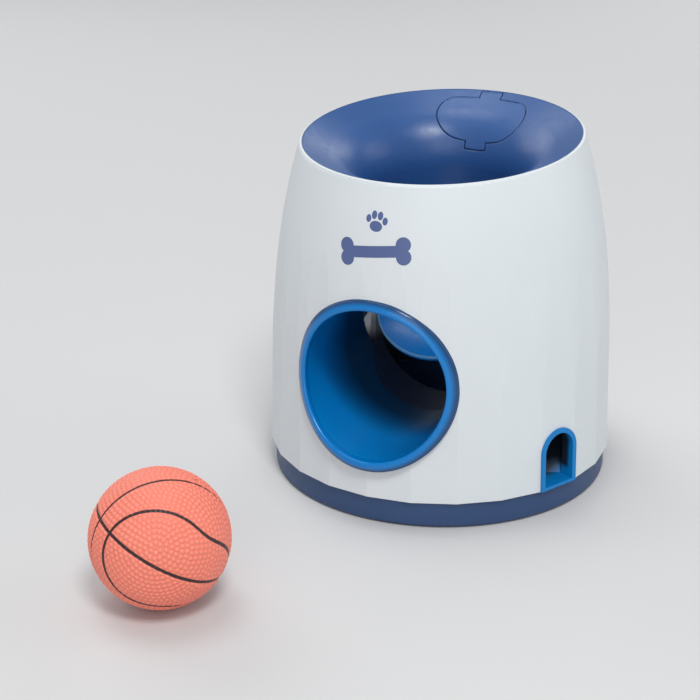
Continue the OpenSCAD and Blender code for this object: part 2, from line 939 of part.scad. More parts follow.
module dosing_sector() {
  hub_x = sector_end_x - sector_hub_l;
  color(bright_blue)
    difference() {
      union() {
        intersection() {
          difference() {
            about_shaft(sector_x, sector_w, sector_out_r);
            about_shaft(sector_x - past, sector_w + 2 * past, sector_in_r);
          }
          shaft_wedge(sector_back, sector_front, sector_x, sector_w);
        }
        intersection() {
          about_shaft(sector_end_x, web_t, sector_out_r);
          shaft_wedge(sector_back, web_front, sector_end_x, web_t);
        }
        about_shaft(hub_x, sector_end_x + web_t - hub_x, hub_r);
      }
      about_shaft(hub_x - past, sector_hub_l + web_t + 2 * past, shaft_d / 2 + snug);
      translate([pocket_x, pivot[0], pivot[1] + sector_in_r - pocket_d / 2])
        cylinder(h = sector_out_r, r = pocket_d / 2);
    }
}

// One unbroken wire wound round the shaft
function spring_point(i, k) =
  let (a = 360 * i / spring_rings, b = 360 * k / spring_sides)
  let (r = spring_r + spring_wire_r * cos(b))
  [spring_start_x + spring_pitch * i / spring_rings + spring_wire_r * sin(b),
    pivot[0] + r * cos(a), pivot[1] + r * sin(a)];

module return_spring() {
  rings = spring_turns * spring_rings;
  n = spring_sides;
  points = [for (i = [0 : rings]) for (k = [0 : n - 1]) spring_point(i, k)];
  sides = [for (i = [0 : rings - 1]) for (k = [0 : n - 1]) for (half = [0, 1])
    let (a = i * n + k, b = i * n + (k + 1) % n)
    half == 0 ? [a, b, b + n] : [a, b + n, a + n]];
  first = [for (k = [1 : n - 2]) [0, k + 1, k]];
  last = [for (k = [1 : n - 2]) [rings * n, rings * n + k, rings * n + k + 1]];
  echo(spring_gap = spring_pitch - 2 * spring_wire_r);
  color(steel)
    polyhedron(points, concat(sides, first, last));
}

module shaft_clips() {
  color(steel)
    for (x = [-cheek_out_x - clip_gap - clip_t, sector_end_x + web_t + clip_gap])
      difference() {
        about_shaft(x, clip_t, clip_r);
        about_shaft(x - past, clip_t + 2 * past, shaft_d / 2 + snug);
      }
}

// Sector of the hopper's plan between its two ends, drawn in by a wall
module hopper_plan(wall) {
  mid = (hopper_from + hopper_to) / 2;
  inner = wall / sin((hopper_to - hopper_from) / 2);
  translate(inner * [sin(mid), -cos(mid)])
    polygon([[0, 0], for (a = [hopper_from : (hopper_to - hopper_from) / 4 : hopper_to])
      block * [sin(a), -cos(a)]]);
}

// Space over the hopper's sloping floor, raised by a wall, low over the dosing sector
module above_hopper_floor(wall) {
  translate([pocket_x, pivot[0], spout_top_z + wall])
    rotate([0, 0, 135])
      rotate([0, -hopper_slope, 0])
        translate([-block / 2, -block / 2, 0])
          cube(block);
}

module hopper_body(wall) {
  intersection() {
    housing_space(hopper_gap + wall);
    linear_extrude(height = high_z)
      difference() {
        hopper_plan(wall);
        circle(hopper_in_r + wall);
      }
    above_hopper_floor(wall);
  }
}

module hopper() {
  color(grey)
    difference() {
      union() {
        difference() {
          hopper_body(0);
          hopper_body(hopper_wall);
        }
        for (a = ear_angles)
          intersection() {
            at_angle(a, ear_circle_r)
              translate([0, 0, ear_z - ear_t])
                cylinder(h = ear_t, r = ear_r + 2);
            difference() {
              housing_space(hopper_gap);
              hopper_body(0);
            }
          }
        translate([pocket_x, pivot[0], pivot[1]])
          cylinder(h = spout_top_z + 2 - pivot[1], r = pocket_d / 2 + spout_wall);
      }
      translate([pocket_x, pivot[0], pivot[1]])
        cylinder(h = spout_top_z - pivot[1] + spout_over, r = pocket_d / 2);
      about_shaft(cheek_x, flat_bottom_r - cheek_x, sector_out_r + sector_gap);
      at_rim()
        rotate_extrude()
          difference() {
            translate([0, -block])
              square([block, 2 * block]);
            intersection() {
              flare_region(funnel_wall + hopper_top_gap);
              translate([0, -block])
                square([block, block - ring_d - ledge_t - hopper_top_gap]);
            }
          }
      for (a = ear_angles)
        at_angle(a, ear_circle_r)
          translate([0, 0, ear_z - ear_t - past])
            cylinder(h = ear_t + 2 * past, r = screw_hole_r);
    }
}

// Plan of the chute, drawn in by a wall, from the outlet's sleeve to its mouth
module chute_plan(wall) {
  size = chute_in_size / 2 - [wall, wall];
  half = arch_r + sleeve_t - wall;
  depth = sleeve_depth - 1 + wall;
  polygon([outlet_point(-half, depth), outlet_point(half, depth),
    [pocket_x + size[0], chute_in_y + size[1]], [pocket_x - size[0], chute_in_y + size[1]],
    [pocket_x - size[0], chute_in_y - size[1]]]);
}

// Side view of the chute along its heading, drawn in by a wall, open at the top of its mouth
module chute_side(wall) {
  low = shell_bottom_z + wall;
  high = shell_bottom_z + chute_level_h - wall;
  top = wall > 0 ? chute_in_z + past : chute_in_z;
  far = chute_l + chute_in_size[1];
  polygon([[-sleeve_depth * 2, low], [chute_level, low], [far, top - chute_drop], [far, top],
    [chute_l - chute_in_size[1] * 0.75 + 2 * wall, top], [chute_level + wall, high],
    [-sleeve_depth * 2, high]]);
}

module chute_body(wall) {
  intersection() {
    linear_extrude(height = 2 * chute_in_z)
      chute_plan(wall);
    translate([chute_start[0], chute_start[1], 0])
      rotate([0, 0, chute_heading])
        rotate([90, 0, 0])
          linear_extrude(height = block, center = true)
            chute_side(wall);
  }
}

module treat_chute() {
  inner_h = outlet_h - outlet_lip;
  color(bright_blue)
    difference() {
      union() {
        arch_block(outlet_lip, outlet_h, -outlet_proud, 0);
        arch_block(sleeve_t, inner_h + sleeve_t, -outlet_proud / 2, sleeve_depth);
        chute_body(0);
      }
      chute_body(chute_wall);
      at_outlet()
        translate([0, sleeve_depth + past, chute_sill])
          rotate([90, 0, 0])
            linear_extrude(height = 2 * sleeve_depth)
              arch(0, inner_h - chute_sill);
    }
}

module rubber_feet() {
  color(black)
    for (a = foot_angles)
      at_angle(a, foot_circle_r)
        cylinder(h = base_z + foot_sink, r = foot_d / 2);
}

module base_screws() {
  color(steel)
    for (a = post_angles)
      at_angle(a, post_circle_r)
        translate([0, 0, head_z]) {
          cylinder(h = head_t, r = head_r);
          cylinder(h = post_z + post_grip - head_z, r = screw_d / 2);
        }
}

module frame_screws() {
  color(steel)
    for (p = frame_screw_places)
      translate([p[0], p[1], base_z]) {
        cylinder(h = frame_head_t, r = head_r);
        cylinder(h = frame_screw_top - base_z, r = screw_d / 2);
      }
}

module hopper_screws() {
  color(steel)
    for (a = ear_angles)
      at_angle(a, ear_circle_r) {
        translate([0, 0, ear_z - ear_t - head_t])
          cylinder(h = head_t, r = head_r);
        translate([0, 0, ear_z - ear_t - head_t])
          cylinder(h = head_t + ear_t + ear_grip, r = screw_d / 2);
      }
}

// Ring groove on the ball, in a plane off its centre
module ball_groove(offset) {
  r = sqrt((ball_d / 2) ^ 2 - offset ^ 2);
  translate([0, 0, offset - groove_w / 2])
    difference() {
      cylinder(h = groove_w, r = r + groove_w);
      translate([0, 0, -past])
        cylinder(h = groove_w + 2 * past, r = r - groove_w / 2);
    }
}

module ball() {
  color(coral)
    translate([ball_x, ball_y, ball_d / 2])
      rotate(ball_turn)
        difference() {
          sphere(ball_d / 2, $fn = 200);
          ball_groove(0);
          rotate([90, 0, 0])
            for (place = ball_rings)
              ball_groove(place * ball_d / 2);
        }
}

outer_shell();
funnel();
base_tray();
exit_tube();
ball_trough();
treat_chute();
hopper();
left_cheek();
right_cheek();
dish();
dish_shaft();
dosing_sector();
return_spring();
shaft_clips();
lid();
lid_hinge_pin();
rubber_feet();
base_screws();
frame_screws();
hopper_screws();
ball();
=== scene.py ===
# %% [markdown]
# # A dog treat puzzle, dressed for its portrait
# The solids of this puzzle come from a CAD pack: a grey housing, a navy funnel with a treat lid,
# a blue ball tunnel, a tipping dish and a loose ball. This lesson gives them their finishes and adds
# the small moulded forms that the solids leave out. Everything is in metres, +Z up, with the ball
# exit towards -Y.

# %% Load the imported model
import json
import math

import bpy
import numpy as np
from mathutils import Matrix, Vector


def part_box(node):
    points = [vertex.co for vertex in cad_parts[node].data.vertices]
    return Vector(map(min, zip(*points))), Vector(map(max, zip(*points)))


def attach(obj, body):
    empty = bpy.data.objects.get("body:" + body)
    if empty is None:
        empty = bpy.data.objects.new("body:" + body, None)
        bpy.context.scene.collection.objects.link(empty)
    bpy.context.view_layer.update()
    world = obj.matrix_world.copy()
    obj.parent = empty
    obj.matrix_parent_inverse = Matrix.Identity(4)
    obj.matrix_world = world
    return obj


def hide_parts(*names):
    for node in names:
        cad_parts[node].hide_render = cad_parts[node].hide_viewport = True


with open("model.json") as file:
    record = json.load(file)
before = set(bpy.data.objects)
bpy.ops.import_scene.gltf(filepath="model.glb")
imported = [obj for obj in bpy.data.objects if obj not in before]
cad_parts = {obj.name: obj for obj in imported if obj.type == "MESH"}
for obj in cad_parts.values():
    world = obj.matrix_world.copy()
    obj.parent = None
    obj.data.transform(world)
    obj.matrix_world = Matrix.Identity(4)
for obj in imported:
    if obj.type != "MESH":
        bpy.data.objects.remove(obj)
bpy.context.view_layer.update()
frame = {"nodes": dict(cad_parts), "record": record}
nodes = frame["nodes"]
MM = 0.001

# %% [markdown]
# ## Camera
# The picture was taken from in front and above, about 23 degrees to the right of the ball exit.
# The camera could be aimed with a Track To constraint, but the picture also has a slight roll, so
# its three axes are worked out from pan, tilt and roll and set as a matrix.

# %% Camera at the picture's viewing angle
AZIMUTH, PAN, TILT, ROLL = (math.radians(a) for a in (23.06, -3.351, 21.70, -0.416))
CAMERA_REACH, CAMERA_HEIGHT, CAMERA_FAR = 0.78595, 0.3702, 20
LENS_MM, SENSOR_MM = 85.37, 36


def camera_axes():
    ahead = Vector((math.sin(PAN) * math.cos(TILT), math.cos(PAN) * math.cos(TILT), -math.sin(TILT)))
    right = Vector((math.cos(PAN), -math.sin(PAN), 0))
    up = right.cross(ahead)
    rolled = (math.cos(ROLL) * right + math.sin(ROLL) * up, math.cos(ROLL) * up - math.sin(ROLL) * right)
    turn = Matrix.Rotation(AZIMUTH, 3, "Z")
    return [turn @ v for v in (*rolled, -ahead)]


camera_data = bpy.data.cameras.new("picture_camera")
camera_data.lens = LENS_MM
camera_data.sensor_width = SENSOR_MM
camera_data.clip_end = CAMERA_FAR
camera = bpy.data.objects.new("picture_camera", camera_data)
bpy.context.scene.collection.objects.link(camera)
place = Matrix(camera_axes()).transposed().to_4x4()
place.translation = (CAMERA_REACH * math.sin(AZIMUTH), -CAMERA_REACH * math.cos(AZIMUTH), CAMERA_HEIGHT)
camera.matrix_world = place
bpy.context.scene.camera = camera
print("camera at", [round(v, 3) for v in camera.location])

# %% [markdown]
# ## Studio
# A pale floor that curves up into a backdrop keeps the horizon out of the picture. A key lamp from
# the front right, broad soft lamps all round, one overhead that shines down the funnel, and an even
# white world give the plain light of a product picture.

# %% Helpers: start clean, name what was just made, and settle it


def clear_selection():
    if bpy.context.object and bpy.context.object.mode != "OBJECT":
        bpy.ops.object.mode_set(mode="OBJECT")
    bpy.ops.object.select_all(action="DESELECT")


def pick(piece):
    """Selects one piece alone and makes it the active one."""
    clear_selection()
    piece.select_set(True)
    bpy.context.view_layer.objects.active = piece


def made(name):
    piece = bpy.context.object
    piece.name = name
    piece.data.name = name
    return piece


def settle(piece):
    """Moves a finished piece's place, turn and size into its mesh."""
    pick(piece)
    bpy.ops.object.transform_apply(location=True, rotation=True, scale=True)


# %% Floor and backdrop
FLOOR_SIZE, BACKDROP_HEIGHT, FOLD_WIDTH, FOLD_STEPS = 6, 4, 1.2, 16
BACK_EDGE = FLOOR_SIZE / 2 - 0.1
PAPER_GREY, PAPER_ROUGH = 0.62, 0.9
clear_selection()
bpy.ops.mesh.primitive_plane_add(size=FLOOR_SIZE, location=(0, 0, 0))
floor = made("studio_floor")
bpy.ops.object.mode_set(mode="EDIT")
bpy.ops.mesh.select_mode(type="EDGE")
bpy.ops.mesh.select_all(action="DESELECT")
bpy.ops.object.mode_set(mode="OBJECT")
for edge in floor.data.edges:
    edge.select = all(floor.data.vertices[v].co.y > BACK_EDGE for v in edge.vertices)
bpy.ops.object.mode_set(mode="EDIT")
bpy.ops.mesh.extrude_region_move(TRANSFORM_OT_translate={"value": (0, 0, BACKDROP_HEIGHT)})
bpy.ops.object.mode_set(mode="OBJECT")
fold = floor.modifiers.new("fold", "BEVEL")
fold.width, fold.segments = FOLD_WIDTH, FOLD_STEPS
bpy.ops.object.modifier_apply(modifier=fold.name)
bpy.ops.object.shade_smooth()
paper = bpy.data.materials.new("studio_paper")
paper.use_nodes = True
shader = paper.node_tree.nodes["Principled BSDF"]
shader.inputs["Base Color"].default_value = (PAPER_GREY, PAPER_GREY, PAPER_GREY, 1)
shader.inputs["Roughness"].default_value = PAPER_ROUGH
floor.data.materials.append(paper)
print("floor faces:", len(floor.data.polygons))

# %% Lamps and world: each lamp has its spot, the height it aims at, its size and its power
LAMPS = {
    "key_lamp": ((0.62, -0.86, 1.5), 0.08, 0.42, 14),
    "front_lamp": ((0.55, -1.6, 0.65), 0.08, 1.2, 6.2),
    "left_lamp": ((-1.35, 0.65, 0.95), 0.1, 1.2, 6.8),
    "right_lamp": ((1.5, 1.0, 0.8), 0.1, 1.2, 5.6),
    "back_lamp": ((0.05, 1.7, 0.75), 0.15, 1.0, 5),
    "top_lamp": ((-0.4, 0.05, 1.8), 0.1, 0.8, 6.5),
}
WORLD_WHITE, WORLD_STRENGTH = (0.93, 0.96, 1.0, 1), 0.42
for name, (spot, aim_height, size, power) in LAMPS.items():
    lamp = bpy.data.lights.new(name, "AREA")
    lamp.shape, lamp.size, lamp.energy = "SQUARE", size, power
    holder = bpy.data.objects.new(name, lamp)
    bpy.context.scene.collection.objects.link(holder)
    holder.location = spot
    holder.rotation_mode = "QUATERNION"
    holder.rotation_quaternion = (Vector((0, 0, aim_height)) - Vector(spot)).to_track_quat("-Z", "Y")
world = bpy.data.worlds.new("studio_world")
bpy.context.scene.world = world
world.use_nodes = True
world.node_tree.nodes["Background"].inputs["Color"].default_value = WORLD_WHITE
world.node_tree.nodes["Background"].inputs["Strength"].default_value = WORLD_STRENGTH
bpy.context.scene.view_settings.view_transform = "Standard"

# %% [markdown]
# ## Finishes
# Nearly every part is injection-moulded plastic. A flat colour looks dead, because real mouldings
# have a fine spark-eroded grain, a slightly uneven gloss and faint flow marks in the colour. One
# helper builds that from three noise textures on Object coordinates, and each finish sets its
# own colour, gloss and grain. A small Bevel node rounds the light on the sharp solid edges.

# %% Helper: sRGB to the linear colours that shaders use


def linear(rgb):
    return [((c / 255 + 0.055) / 1.055) ** 2.4 if c > 10 else c / 255 / 12.92 for c in rgb]


# %% Helpers: small shader steps, each fed by sockets or plain values


def feed(tree, socket, value):
    if isinstance(value, bpy.types.NodeSocket):
        tree.links.new(value, socket)
    else:
        socket.default_value = value


def calc(tree, operation, *values):
    node = tree.nodes.new("ShaderNodeMath")
    node.operation = operation
    for socket, value in zip(node.inputs, values):
        feed(tree, socket, value)
    return node.outputs["Value"]


def vector_calc(tree, operation, *values):
    node = tree.nodes.new("ShaderNodeVectorMath")
    node.operation = operation
    for socket, value in zip(node.inputs, values):
        feed(tree, socket, value)
    return node.outputs["Value" if operation in ("DOT_PRODUCT", "LENGTH") else "Vector"]


def mapped(tree, value, start, end, low=0, high=1):
    """Turns start to end into low to high, and holds it there beyond them."""
    node = tree.nodes.new("ShaderNodeMapRange")
    settings = {"Value": value, "From Min": start, "From Max": end, "To Min": low, "To Max": high}
    for name, setting in settings.items():
        feed(tree, node.inputs[name], setting)
    return node.outputs["Result"]


# %% Helpers: noise, and colours blended by a socket


def noise(tree, where, scale, detail=2):
    node = tree.nodes.new("ShaderNodeTexNoise")
    node.inputs["Scale"].default_value = scale
    node.inputs["Detail"].default_value = detail
    tree.links.new(where, node.inputs["Vector"])
    return node.outputs["Fac"]


def tinted(tree, value, dark, light, ends=(0, 1)):
    node = tree.nodes.new("ShaderNodeValToRGB")
    for stop, at, colour in zip(node.color_ramp.elements, ends, (dark, light)):
        stop.position = at
        stop.color = (*colour, 1)
    tree.links.new(value, node.inputs["Fac"])
    return node.outputs["Color"]


def mixed(tree, share, first, second):
    node = tree.nodes.new("ShaderNodeMix")
    node.data_type = "RGBA"
    for name, value in (("Factor", share), ("A", first), ("B", second)):
        feed(tree, node.inputs[name], value)
    return node.outputs["Result"]


def coordinates(tree):
    """The tree's Texture Coordinate node, made when it is first asked for."""
    found = [n for n in tree.nodes if n.type == "TEX_COORD"]
    return found[0] if found else tree.nodes.new("ShaderNodeTexCoord")


# %% Helper: a moulded plastic finish
FLOW_SCALE, FLOW_DETAIL, GLOSS_SCALE = 28, 3, 260
NOISE_ENDS = (0.3, 0.7)
GRAIN_SIZE, GRAIN_DEPTH = 0.5 * MM, 0.2 * MM
SMOOTHEST, EDGE_SAMPLES = 0.03, 4


def moulded(name, rgb, rough, grain=0.1, mottle=0.05, uneven=0.05, edge=0.4 * MM, specular=0.5):
    """Mottle spreads the colour, uneven the roughness, and edge is the radius of the softened edges."""
    finish = bpy.data.materials.new(name)
    finish.use_nodes = True
    tree = finish.node_tree
    shader = tree.nodes["Principled BSDF"]
    shader.inputs["Specular IOR Level"].default_value = specular
    where = coordinates(tree).outputs["Object"]
    base = linear(rgb)
    dark, light = [c * (1 - mottle) for c in base], [min(1, c * (1 + mottle)) for c in base]
    flow = noise(tree, where, FLOW_SCALE, FLOW_DETAIL)
    tree.links.new(tinted(tree, flow, dark, light, NOISE_ENDS), shader.inputs["Base Color"])
    gloss = noise(tree, where, GLOSS_SCALE)
    glossy, dull = max(SMOOTHEST, rough - uneven), min(1, rough + uneven)
    tree.links.new(mapped(tree, gloss, *NOISE_ENDS, glossy, dull), shader.inputs["Roughness"])
    bump = tree.nodes.new("ShaderNodeBump")
    bump.inputs["Strength"].default_value = grain
    bump.inputs["Distance"].default_value = GRAIN_DEPTH
    tree.links.new(noise(tree, where, 1 / GRAIN_SIZE), bump.inputs["Height"])
    if edge:
        soft_edge = tree.nodes.new("ShaderNodeBevel")
        soft_edge.samples = EDGE_SAMPLES
        soft_edge.inputs["Radius"].default_value = edge
        tree.links.new(soft_edge.outputs["Normal"], bump.inputs["Normal"])
    tree.links.new(bump.outputs["Normal"], shader.inputs["Normal"])
    return finish


# %% The finishes of the solids
finishes = {
    "shell_grey": moulded("shell_grey", (214, 220, 223), 0.5, grain=0.12, mottle=0.012),
    "funnel_navy": moulded("funnel_navy", (44, 84, 142), 0.34, grain=0.12, mottle=0.05, edge=0.9 * MM),
    "lid_navy": moulded("lid_navy", (48, 88, 146), 0.34, grain=0.12, mottle=0.05, edge=0.9 * MM),
    "base_navy": moulded("base_navy", (42, 70, 112), 0.46, grain=0.12, mottle=0.05),
    "tube_blue": moulded("tube_blue", (0, 124, 196), 0.28, grain=0.01, mottle=0.015, uneven=0.005, edge=0),
    "chute_blue": moulded("chute_blue", (6, 122, 192), 0.36, grain=0.05, mottle=0.03, specular=0.3),
    "dish_blue": moulded("dish_blue", (0, 142, 232), 0.2, grain=0.02, mottle=0.03, specular=0.3),
    "sector_blue": moulded("sector_blue", (6, 116, 186), 0.3, grain=0.06, mottle=0.03),
    "trough_navy": moulded("trough_navy", (22, 42, 74), 0.4, grain=0.06, mottle=0.05),
    "hopper_grey": moulded("hopper_grey", (196, 202, 206), 0.5, grain=0.12, mottle=0.02),
    "frame_grey": moulded("frame_grey", (186, 192, 197), 0.5, grain=0.12, mottle=0.02),
    "foot_rubber": moulded("foot_rubber", (34, 34, 36), 0.75, grain=0.35, mottle=0.12),
}
print("moulded finishes:", len(finishes))

# %% [markdown]
# ### Painted shade in the openings
# Little light reaches the far end of the ball tunnel or of the treat chute, so shade is painted into
# their colour. A dot product with a direction gives each point's distance along it, a Map Range turns
# that into a mask, and the masks, multiplied together, mix the finish towards its shade colour.

# %% Helper: paint shade into a finish where all its masks are high


def paint_shade(finish, masks, rgb, share=None):
    """A mask is a direction, and where along it, in millimetres, the painted shade starts and is full."""
    tree = finish.node_tree
    colour = tree.nodes["Principled BSDF"].inputs["Base Color"]
    where = coordinates(tree).outputs["Object"]
    for direction, (start, full) in masks:
        reach = vector_calc(tree, "DOT_PRODUCT", where, direction)
        mask = mapped(tree, reach, start * MM, full * MM)
        share = mask if share is None else calc(tree, "MULTIPLY", share, mask)
    shaded = mixed(tree, share, colour.links[0].from_socket, (*linear(rgb), 1))
    tree.links.new(shaded, colour)
    print(finish.name, "darkened")


# %% Painted shade deep in the tunnel, low on the cheeks and deep in the chute
UPWARDS, BACKWARDS = (0, 0, 1), (0, 1, 0)
OUTLET_ANGLE = math.radians(64.8)
OUTWARDS = (math.sin(OUTLET_ANGLE), -math.cos(OUTLET_ANGLE), 0)
TUNNEL_SHADE_DEPTH, CHEEK_SHADE_DEPTH, CHUTE_SHADE_DEPTH = (-60, -33), (58, 50), (79, 74)
CHUTE_BACK_SHADE, CHUTE_SHADE_OVER_RAMP = (84.6, 82.6), (18.5, 21)
# Painted shade: the tunnel's blue darkens deep inside, where little light reaches.
paint_shade(finishes["tube_blue"], [(BACKWARDS, TUNNEL_SHADE_DEPTH)], (0, 58, 96))
# Painted shade: the grey cheeks darken low down, under the dish.
paint_shade(finishes["frame_grey"], [(UPWARDS, CHEEK_SHADE_DEPTH)], (48, 48, 52))
# Painted shade: the chute darkens towards its back, and most at the back above its ramp.
paint_shade(finishes["chute_blue"], [(OUTWARDS, CHUTE_SHADE_DEPTH)], (34, 48, 66))
paint_shade(finishes["chute_blue"], [(OUTWARDS, CHUTE_BACK_SHADE), (UPWARDS, CHUTE_SHADE_OVER_RAMP)], (26, 36, 50))

# %% [markdown]
# Shade is painted on the inside of the housing too, low down. Its outside must stay pale, so one more
# mask is needed: on an inner wall the normal points towards the upright axis, against the point's own
# direction.

# %% Painted shade on the inside of the housing
INWARD_LIMIT, HOUSING_SHADE_DEPTH = -0.01, (44, 36)
tree = finishes["shell_grey"].node_tree
where = coordinates(tree)
from_axis = vector_calc(tree, "MULTIPLY", where.outputs["Object"], (1, 1, 0))
facing = vector_calc(tree, "DOT_PRODUCT", from_axis, where.outputs["Normal"])
inward = calc(tree, "LESS_THAN", facing, INWARD_LIMIT)
# Painted shade: the inner wall darkens low down, where no light reaches.
paint_shade(finishes["shell_grey"], [(UPWARDS, HOUSING_SHADE_DEPTH)], (30, 30, 32), inward)

# %% [markdown]
# ### Steel
# The shaft, spring, clips, pin and screws are drawn steel. Fine marks run along the wire, so the
# roughness comes from a noise that is stretched along X, the way the shaft lies.

# %% Drawn steel
MARKS_PER_METRE = (60, 900, 900)
STEEL_DARK, STEEL_LIGHT = (0.42, 0.43, 0.45), (0.62, 0.63, 0.65)
STEEL_GLOSSY, STEEL_DULL = 0.2, 0.42
steel = bpy.data.materials.new("steel")
steel.use_nodes = True
tree = steel.node_tree
shader = tree.nodes["Principled BSDF"]
shader.inputs["Metallic"].default_value = 1
stretch = tree.nodes.new("ShaderNodeMapping")
stretch.inputs["Scale"].default_value = MARKS_PER_METRE
tree.links.new(coordinates(tree).outputs["Object"], stretch.inputs["Vector"])
marks = noise(tree, stretch.outputs["Vector"], 1)
tree.links.new(mapped(tree, marks, 0, 1, STEEL_GLOSSY, STEEL_DULL), shader.inputs["Roughness"])
tree.links.new(tinted(tree, marks, STEEL_DARK, STEEL_LIGHT), shader.inputs["Base Color"])
finishes["steel"] = steel
print("finishes:", len(finishes))

# %% Give each solid its finish
# The ball's solid is replaced further on, so any finish does for it.
slot_of = {p["node"]: p["material_slot"] for p in frame["record"]["subparts"]}
for name, solid in nodes.items():
    solid.data.materials.clear()
    solid.data.materials.append(finishes.get(slot_of[name], finishes["sector_blue"]))
print("finished solids:", len(nodes))

# %% [markdown]
# ## The bead round the ball exit
# The blue tunnel ends in a soft bead, high at the tunnel and sloping to a low foot, with painted
# shade darkening the slope towards the foot. It lies on the curved housing, so it is a saddle, not a
# flat ring. A torus would give a round section only, so the section is drawn as a loop of points and
# spun round the tunnel's axis. Each point is then moved back to where the housing's round form is at
# that place.

# %% Where the housing's round form is
ROUND_R, ROUND_Z, ROUND_DRAFT, ROUND_ARC = 83.27 * MM, 94.6 * MM, math.radians(4.53), 361 * MM
TUNNEL_Z, TUNNEL_R = 69.7 * MM, 36.5 * MM


def housing_radius(z):
    """A cone below ROUND_Z, and an arc above it that leaves the cone without a corner."""
    if z < ROUND_Z:
        return ROUND_R + (ROUND_Z - z) * math.tan(ROUND_DRAFT)
    centre_r = ROUND_R - ROUND_ARC * math.cos(ROUND_DRAFT)
    centre_z = ROUND_Z - ROUND_ARC * math.sin(ROUND_DRAFT)
    return centre_r + math.sqrt(ROUND_ARC**2 - (z - centre_z) ** 2)


print("housing radius at the tunnel:", round(housing_radius(TUNNEL_Z), 4))

# %% Section of the bead: distance outside the tunnel and height over the housing, in millimetres
BEAD_SECTION = [
    (0.3, -2.2), (-0.03, -1.7), (-0.09, -1.0), (-0.1, 0.0), (-0.1, 0.6), (0.0, 1.15), (0.27, 1.63),
    (0.7, 1.99), (1.09, 2.15), (1.5, 2.2), (2.0, 2.17), (2.5, 2.05), (3.0, 1.85), (3.5, 1.58),
    (4.0, 1.28), (4.45, 1.08), (4.65, 0.8), (4.72, 0.45), (4.75, 0.2), (4.95, 0.16), (5.05, 0.05),
    (5.05, -0.6),
]
clear_selection()
bpy.ops.mesh.primitive_circle_add(vertices=len(BEAD_SECTION), radius=MM)
bead = made("exit_bead")
for vertex, (out, rise) in zip(bead.data.vertices, BEAD_SECTION):
    vertex.co = (TUNNEL_R + out * MM, 0, rise * MM)
print("section points:", len(bead.data.vertices))

# %% Spin the section and lay the ring on the housing
BEAD_STEPS, BEAD_CREASE, MERGE = 192, math.radians(50), 1e-6
bpy.ops.object.mode_set(mode="EDIT")
bpy.ops.mesh.select_all(action="SELECT")
bpy.ops.mesh.spin(steps=BEAD_STEPS, angle=2 * math.pi, center=(0, 0, 0), axis=(0, 0, 1))
bpy.ops.mesh.select_all(action="SELECT")
bpy.ops.mesh.remove_doubles(threshold=MERGE)
bpy.ops.mesh.normals_make_consistent(inside=False)
bpy.ops.object.mode_set(mode="OBJECT")
bead.rotation_euler = (math.radians(90), 0, 0)
bead.location = (0, 0, TUNNEL_Z)
settle(bead)
for vertex in bead.data.vertices:
    vertex.co.y -= math.sqrt(housing_radius(vertex.co.z) ** 2 - vertex.co.x**2)
bpy.ops.object.shade_smooth_by_angle(angle=BEAD_CREASE)
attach(bead, "housing")
print("bead:", len(bead.data.polygons), "faces")

# %% The bead's blue, with painted shade darker towards its foot
FOOT_SHADE_START, FOOT_SHADE_FULL = 2.3 * MM, 4.2 * MM
bead_blue = moulded("bead_blue", (0, 118, 192), 0.18, grain=0.01, mottle=0.02, edge=0)
tree = bead_blue.node_tree
from_centre = vector_calc(tree, "SUBTRACT", coordinates(tree).outputs["Object"], (0, 0, TUNNEL_Z))
across_axis = vector_calc(tree, "MULTIPLY", from_centre, (1, 0, 1))
radius = vector_calc(tree, "LENGTH", across_axis)
foot = mapped(tree, radius, TUNNEL_R + FOOT_SHADE_START, TUNNEL_R + FOOT_SHADE_FULL)
# Painted shade: the bead's outer slope darkens towards its foot.
paint_shade(bead_blue, [], (24, 66, 112), foot)
bead.data.materials.append(bead_blue)

# %% [markdown]
# ## The dish's rolled rim
# The dish has a rounded rim that catches the light from the funnel above; its paler blue is a painted
# highlight on top of that. It is a plain torus in the dish's tilted plane, and it tips with the dish.

# %% Dish rim
DISH_R, DISH_Y, DISH_Z, DISH_TILT = 35 * MM, 3 * MM, 84.5 * MM, math.radians(40)
RIM_INSET, RIM_R, RIM_STEPS, RIM_SIDES = 0.6 * MM, 0.75 * MM, 160, 14
clear_selection()
bpy.ops.mesh.primitive_torus_add(
    major_radius=DISH_R - RIM_INSET, minor_radius=RIM_R, major_segments=RIM_STEPS, minor_segments=RIM_SIDES,
    location=(0, DISH_Y, DISH_Z), rotation=(DISH_TILT, 0, 0),
)
rim = made("dish_rim")
settle(rim)
bpy.ops.object.shade_smooth()
# Painted highlight: the rim's blue is paler than the dish's own blue.
rim.data.materials.append(moulded("rim_highlight_blue", (104, 176, 228), 0.24, grain=0.02, mottle=0.03, edge=0))
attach(rim, "tipper")
print("dish rim:", len(rim.data.polygons), "faces")

# %% [markdown]
# ## The lid's upper edge
# The gap round the treat lid should show as a dark line along its lower edge. Along the upper edge a
# thin lip on the lid nearly closes it, just under the surface. The lip could be drawn by hand, but
# it has to follow the lid's curved edge, so the walls of that edge are taken from a merged copy of
# the lid. Their lower points then move out beside the upper ones, which turns each upright wall
# into a level strip.

# %% Helper: select faces by a test, and stay in edit mode to act on them


def select_faces(piece, test):
    if piece.mode != "OBJECT":
        bpy.ops.object.mode_set(mode="OBJECT")
    bpy.ops.object.mode_set(mode="EDIT")
    bpy.ops.mesh.select_mode(type="FACE")
    bpy.ops.mesh.select_all(action="DESELECT")
    bpy.ops.object.mode_set(mode="OBJECT")
    for face in piece.data.polygons:
        face.select = bool(test(face))
    bpy.ops.object.mode_set(mode="EDIT")


